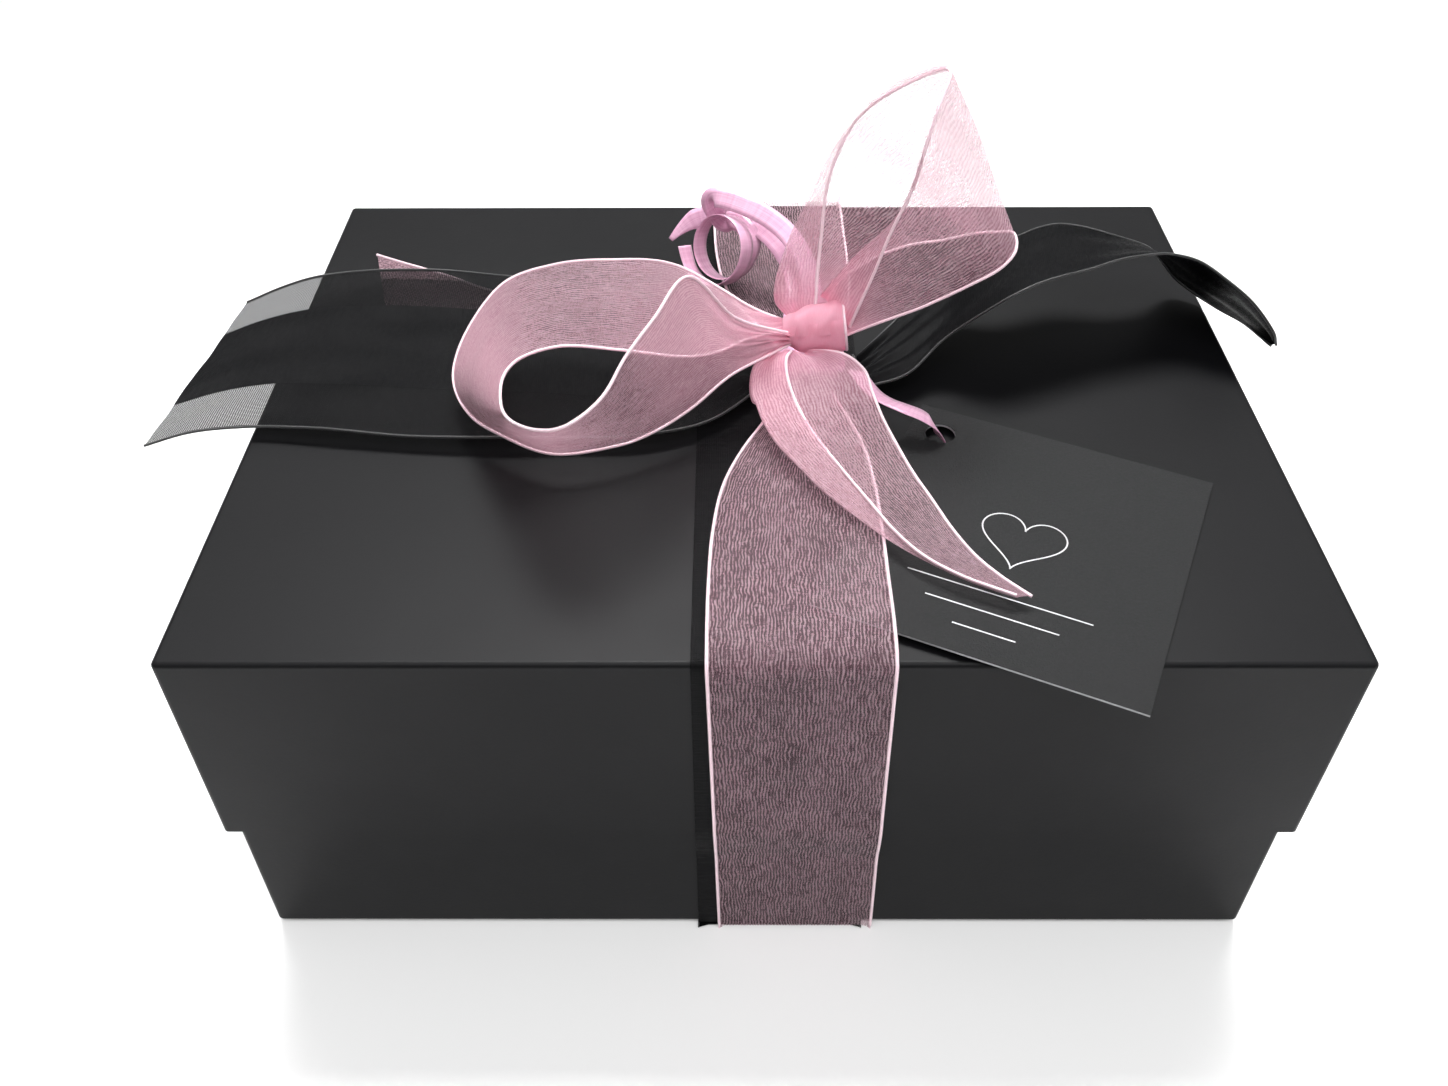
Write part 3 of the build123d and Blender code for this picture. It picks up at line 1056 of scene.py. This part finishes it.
def knotRadius(settings, across, along, seed):
    # the waisted sleeve's radius at that share across and along, with its creases
    leftEnd = settings["leftEnd"]
    angle = 2 * pi * knotShape["wind"] * along
    nip = 0.30 if across < 0.5 else 0.12
    waist = (leftEnd + (1 - leftEnd) * across ** 0.7) * (1 - nip * abs(2 * across - 1) ** 5)
    waver = knotShape["creaseWaver"] * noise.noise(Vector((angle, across * 2, seed)))
    crease = 2 * pi * (knotShape["creasesAcross"] * across + knotShape["creasesAlong"] * along) + waver
    return waist + knotShape["creaseDepth"] * sin(crease) + knotShape["lap"] * along


def knotWrap(name, body, settings, look, node, seed):
    # ribbon wound round the middle of the bow, its right edge corded
    wide, deep, high = settings["size"]
    bm, uvLayer, dense, where = gridStrip(knotShape["columns"], knotShape["rows"])
    girth = 2 * pi * (deep + high) / 2 * mm * knotShape["wind"]
    mapStrip(bm, uvLayer, where, 0.0, knotShape["mapWidth"], girth)
    lean = Matrix.Rotation(radians(settings["lean"]), 3, "Y")
    centre = onLid(*settings["middle"])
    for v, (across, along) in where.items():
        angle = 2 * pi * knotShape["wind"] * along + knotShape["startAngle"]
        grow = knotRadius(settings, across, along, seed)
        place = Vector(((across - 0.5) * 2 * wide, cos(angle) * deep * grow, sin(angle) * high * grow))
        v.co = lean @ (place * mm) + centre
        v[dense] = knotShape["gathered"]
    addCord(bm, edgeLine(where, 1), look["cord"], 1)
    piece = finishPiece(name, bm, body, look["materials"], [node])


knotWrap("bowKnot", "ribbon", pinkKnotSettings, pinkLook, "bow_knot", 2.0)
knotWrap("blackKnot", "ribbon", blackKnotSettings, blackLook, "black_knot", 4.0)
print("knots tied")


def smoothRoute(points, name):
    # the points of the smooth line that the route's own points steer
    curve, spline = newCurve(name, "NURBS", points)
    curve.resolution_u = 12
    spline.order_u = 3
    spline.use_endpoint_u = True
    mesh = curveMesh(name, curve)
    line = [v.co.copy() for v in mesh.vertices]
    bpy.data.meshes.remove(mesh)
    return line


curlSettings = {
    "width": 5.7 * mm,
    "thickness": 0.2 * mm,
    "columns": 4,
    "taperReach": 2.6,  # the length of a tapered end in widths
    "bluntShare": 0.25,  # how much of the width is left at its tip
}


def flatCord(name, line, facing, replaced, pointed=False):
    # a flat ribbon whose broad side looks where facing says at each point of the line
    width = curlSettings["width"]
    bm = bmesh.new()
    rows = len(line) - 1
    bmesh.ops.create_grid(bm, x_segments=curlSettings["columns"], y_segments=rows, size=0.5)
    uvLayer = bm.loops.layers.uv.new("ribbon")
    where = {v: (v.co.x, v.co.y + 0.5) for v in bm.verts}
    run = [0.0]
    for a, b in zip(line, line[1:]):
        run.append(run[-1] + (b - a).length)
    for face in bm.faces:
        for loop in face.loops:
            across, along = where[loop.vert]
            loop[uvLayer].uv = ((across + 0.5) * width, run[round(along * rows)])
    for v, (across, along) in where.items():
        i = round(along * rows)
        ahead = (line[min(i + 1, rows)] - line[max(i - 1, 0)]).normalized()
        side = ahead.cross(facing(along, line[i])).normalized()
        taper = 1.0
        if pointed:
            left = (1 - along) * run[-1]
            taper = min(1.0, left / (width * curlSettings["taperReach"]) + curlSettings["bluntShare"])
        v.co = line[i] + side * across * width * taper
    bm.normal_update()
    bmesh.ops.recalc_face_normals(bm, faces=bm.faces)
    bmesh.ops.solidify(bm, geom=bm.faces[:], thickness=curlSettings["thickness"])
    piece = finishPiece(name, bm, "ribbon", [lilacSatin], replaced)


ringSettings = {
    "centre": (-8.4, 47.5, 14.4),
    "radius": 7.9,
    "growth": 0.40,
    "towardsViewer": (0.01, -0.87, 0.49),
    "sideways": 38.0,
    "firstAngle": 118.0,
    "turns": 1.84,
    "advance": 8.5,
    "pointsPerTurn": 14,
    "behind": 0.4,  # the share of its advance that lies behind its centre
    "startFacing": (0.1, -0.75, 0.6),
    "turnsOutwardAt": (0.30, 0.08),
}
# Routes are in millimetres from the middle of the lid's top, each from under the knot outward.
curlRoute = [
    (14.5, 7.6, 9.9), (15.5, 18.5, 12), (15, 29, 17), (11, 38, 22.5), (4, 45, 26), (-6, 50, 28.2),
    (-14, 53, 28.4),
]
pointRoute = [
    (8.5, 7.6, 9.9), (11, 19, 11), (11.5, 34, 15), (5, 46, 19.5), (-4, 54.5, 21), (-13, 59.5, 19),
    (-20, 60, 16), (-24.5, 57, 12),
]
tagRoute = [
    (25.8, -6.5, 9.7), (27.5, -13, 9.8), (31, -19.5, 10.2), (36, -23.5, 10.4), (41, -25.3, 9.4),
    (44.6, -25.6, 6.5), (46.1, -24.4, 1.6),
]
pointFacing = Vector((0.1, -0.75, 0.65))
tagFacing = Vector((0.35, 0.1, 1))


def ringAxes(settings):
    # the curl's own axis, which points past the viewer's left, and the two directions across it
    viewer = Vector(settings["towardsViewer"]).normalized()
    turn = radians(settings["sideways"])
    axis = (viewer * cos(turn) + Vector((-1, 0, 0)) * sin(turn)).normalized()
    across = (Vector((1, 0, 0)) - axis * axis.x).normalized()
    return axis, across, axis.cross(across)


def ringPoints(settings):
    # points of a short clockwise helix, its first turn behind its second
    axis, across, up = ringAxes(settings)
    count = int(settings["pointsPerTurn"] * settings["turns"])
    places = []
    for k in range(count + 1):
        share = k / count
        angle = radians(settings["firstAngle"]) - 2 * pi * settings["turns"] * share
        radius = settings["radius"] * (1.0 + settings["growth"] * share)
        place = Vector(settings["centre"]) + (across * cos(angle) + up * sin(angle)) * radius
        places.append(onLid(*(place + axis * (share - settings["behind"]) * settings["advance"])))
    return places


def makeCurls():
    settings = ringSettings
    axis = ringAxes(settings)[0]
    centre = onLid(*settings["centre"])
    turnsAt, turnsOver = settings["turnsOutwardAt"]

    def ringFacing(along, place):
        outward = place - centre
        outward = (outward - axis * outward.dot(axis)).normalized()
        share = min(1.0, max(0.0, (along - turnsAt) / turnsOver))
        return Vector(settings["startFacing"]).lerp(outward, share)

    curl, point, tag = [[onLid(*p) for p in route] for route in (curlRoute, pointRoute, tagRoute)]
    line = smoothRoute(curl + ringPoints(settings), "curlRoute")
    flatCord("curlRing", line, ringFacing, ["curl_strand", "curl_ring"])
    line = smoothRoute(point, "pointRoute")
    flatCord("curlPoint", line, lambda along, place: pointFacing, ["curl_point"], pointed=True)
    line = smoothRoute(tag, "tagRoute")
    flatCord("tagStrand", line, lambda along, place: tagFacing, ["tag_strand"])


curlTieSettings = {
    "middle": (14, 0, 9.0),
    "size": (8.5, 6.6, 1.4),
    "lean": 0.0,
    "leftEnd": 0.9,
}
curlTieLook = {
    **blackLook,
    "materials": [lilacSatin, lilacSatin],
    "slot": "lilac_satin",
}

makeCurls()
knotWrap("curlTie", "ribbon", curlTieSettings, curlTieLook, "curl_tie", 6.0)
print("curls made")

tagSettings = {
    "hole": (46.1, -23.6),
    "holeOnCard": (70.0, 66.0),
    "yaw": 65.8,
    "rise": 1.15,
    "low": 0.45,
    "thickness": 0.5,
    "inkLift": 0.06,
    "heartMiddle": (40.0, 37.0),
    "heartSize": 0.62,
    "heartPoints": 72,
    "inkWidth": 0.36,
    "rules": [((20.0, 16.0), (20.0, 58.0)), ((14.0, 22.0), (14.0, 52.0)), ((8.0, 30.0), (8.0, 44.0))],
}


def onTag(settings, u, v):
    # a place on the card's face, u up the card and v across it, both in millimetres
    yaw = Matrix.Rotation(radians(settings["yaw"]), 3, "Z")
    turn = yaw @ Matrix.Rotation(radians(settings["rise"]), 3, "X")
    corner = Vector((*settings["hole"], 0)) - turn @ Vector((*settings["holeOnCard"], 0))
    place = turn @ Vector((u, v, settings["thickness"] + settings["inkLift"]))
    return onLid(corner.x + place.x, corner.y + place.y, place.z + settings["low"])


def heartLine(settings):
    # outline of a heart that points down the card
    count = settings["heartPoints"]
    up, across = settings["heartMiddle"]
    size = settings["heartSize"]
    line = []
    for k in range(count + 1):
        t = 2 * pi * k / count
        x = 16 * sin(t) ** 3
        y = 13 * cos(t) - 5 * cos(2 * t) - 2 * cos(3 * t) - cos(4 * t)
        line.append((up + y * size, across - x * size))
    return line


def makeTagPrint(settings):
    # a plain silver heart over three ruled lines, printed on the card
    bm = bmesh.new()
    for line in [heartLine(settings)] + [list(rule) for rule in settings["rules"]]:
        last = len(line) - 1
        made = bmesh.ops.create_grid(bm, x_segments=1, y_segments=last, size=0.5)
        for v in made["verts"]:
            k = round((v.co.y + 0.5) * last)
            side = v.co.x * settings["inkWidth"] * 2
            before, after = line[max(k - 1, 0)], line[min(k + 1, last)]
            ahead = Vector((after[0] - before[0], after[1] - before[1])).normalized()
            v.co = onTag(settings, line[k][0] - ahead.y * side / 2, line[k][1] + ahead.x * side / 2)
    bmesh.ops.recalc_face_normals(bm, faces=bm.faces)
    up = sum((face.normal for face in bm.faces), Vector()).z
    if up < 0:
        bmesh.ops.reverse_faces(bm, faces=bm.faces)
    return finishPiece("tagPrint", bm, "tag", [silver], smooth=False)


makeTagPrint(tagSettings)
print("tag printed")
